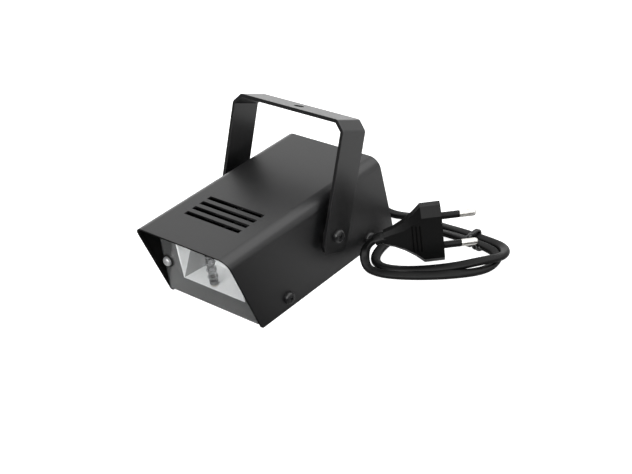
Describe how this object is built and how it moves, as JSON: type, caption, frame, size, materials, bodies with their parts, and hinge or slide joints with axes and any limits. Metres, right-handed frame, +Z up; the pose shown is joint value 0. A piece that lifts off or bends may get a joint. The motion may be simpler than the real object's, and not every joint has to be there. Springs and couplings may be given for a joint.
{
  "type": "xenon stroboscope",
  "caption": "Small xenon stroboscope: folded sheet-steel case with a hooded flash window, cooling slots, tilting strip bracket, rate knob and a tied mains lead with a flat plug.",
  "frame": {"origin": "under the middle of the case's foot, on the surface that it stands on", "axes": "+Z up, the lamp window faces -Y, the rate knob and the lead leave towards +Y, +X is to the right seen from behind the lamp"},
  "size_m": [0.1557, 0.1672, 0.0875],
  "materials": {
    "cover_paint": "fine satin black powder coat",
    "bracket_paint": "satin black powder coat",
    "chassis_steel": "satin black powder coat",
    "window_plastic": "clear polycarbonate",
    "washer_black": "black fibre",
    "zinc_screw": "bright zinc plate",
    "black_screw": "black zinc plate",
    "reflector_aluminium": "bright folded sheet",
    "silicone": "translucent silicone",
    "tube_glass": "clear",
    "nickel": "nickel plate",
    "nylon": "black nylon",
    "knob_plastic": "black, fine grain",
    "pointer_white": "white inlay",
    "gland_rubber": "black moulded",
    "board_laminate": "phenolic laminate",
    "capacitor_sleeve": "shrink sleeve",
    "film_box": "resin-filled box",
    "transformer_resin": "moulded resin",
    "resistor_ceramic": "ceramic body",
    "terminal_plastic": "moulded plastic",
    "core_insulation": "brown core insulation",
    "lead_white": "high-voltage insulation",
    "lead_black": "black silicone insulation",
    "cord_pvc": "black flexible sheath",
    "tie_black": "coated wire",
    "plug_pvc": "black moulded",
    "plug_nickel": "nickel-plated brass"
  },
  "bodies": {
    "case": {"cover": "cover_paint", "base_chassis": "chassis_steel", "window": "window_plastic", "window_washers": "washer_black", "window_screws": "zinc_screw", "reflector": "reflector_aluminium", "reflector_grommets": "silicone", "xenon_tube": "tube_glass", "tube_end_caps": "nickel", "trigger_coil": "nickel", "cover_screws": "black_screw", "pivot_spacers": "nylon", "pivot_screws": "black_screw", "pivot_nuts": "zinc_screw", "potentiometer": "zinc_screw", "pot_washer": "zinc_screw", "pot_nut": "zinc_screw", "cord_gland": "gland_rubber", "gland_nut": "nylon", "circuit_board": "board_laminate", "board_standoffs": "nickel", "board_screws": "zinc_screw", "storage_capacitors": "capacitor_sleeve", "film_capacitor": "film_box", "trigger_transformer": "transformer_resin", "thyristor": "transformer_resin", "rectifier_diodes": "transformer_resin", "charging_resistor": "resistor_ceramic", "fuse": "tube_glass", "fuse_clips": "nickel", "terminal_block": "terminal_plastic", "terminal_screws": "zinc_screw", "mains_cores": "core_insulation", "lamp_leads": "lead_black", "trigger_lead": "lead_white", "rate_leads": "lead_white", "cord_lead": "cord_pvc", "cord_coil": "cord_pvc", "cord_tail": "cord_pvc", "cord_tie": "tie_black", "plug_body": "plug_pvc", "plug_sleeves": "plug_pvc", "plug_pins": "plug_nickel"},
    "bracket": {"bracket": "bracket_paint"},
    "knob": {"rate_knob": "knob_plastic", "pot_shaft": "nickel", "knob_pointer": "pointer_white"}
  },
  "joints": [
    {"name": "bracket_tilt", "type": "hinge", "parent": "case", "child": "bracket", "pos_m": [0, 0.0035, 0.0265], "axis": [1, 0, 0], "range_deg": [-41, 81]},
    {"name": "rate_knob_turn", "type": "hinge", "parent": "case", "child": "knob", "pos_m": [0.012, 0.05106, 0.028], "axis": [0, 0.9925, 0.1219], "range_deg": [-140, 140]}
  ]
}
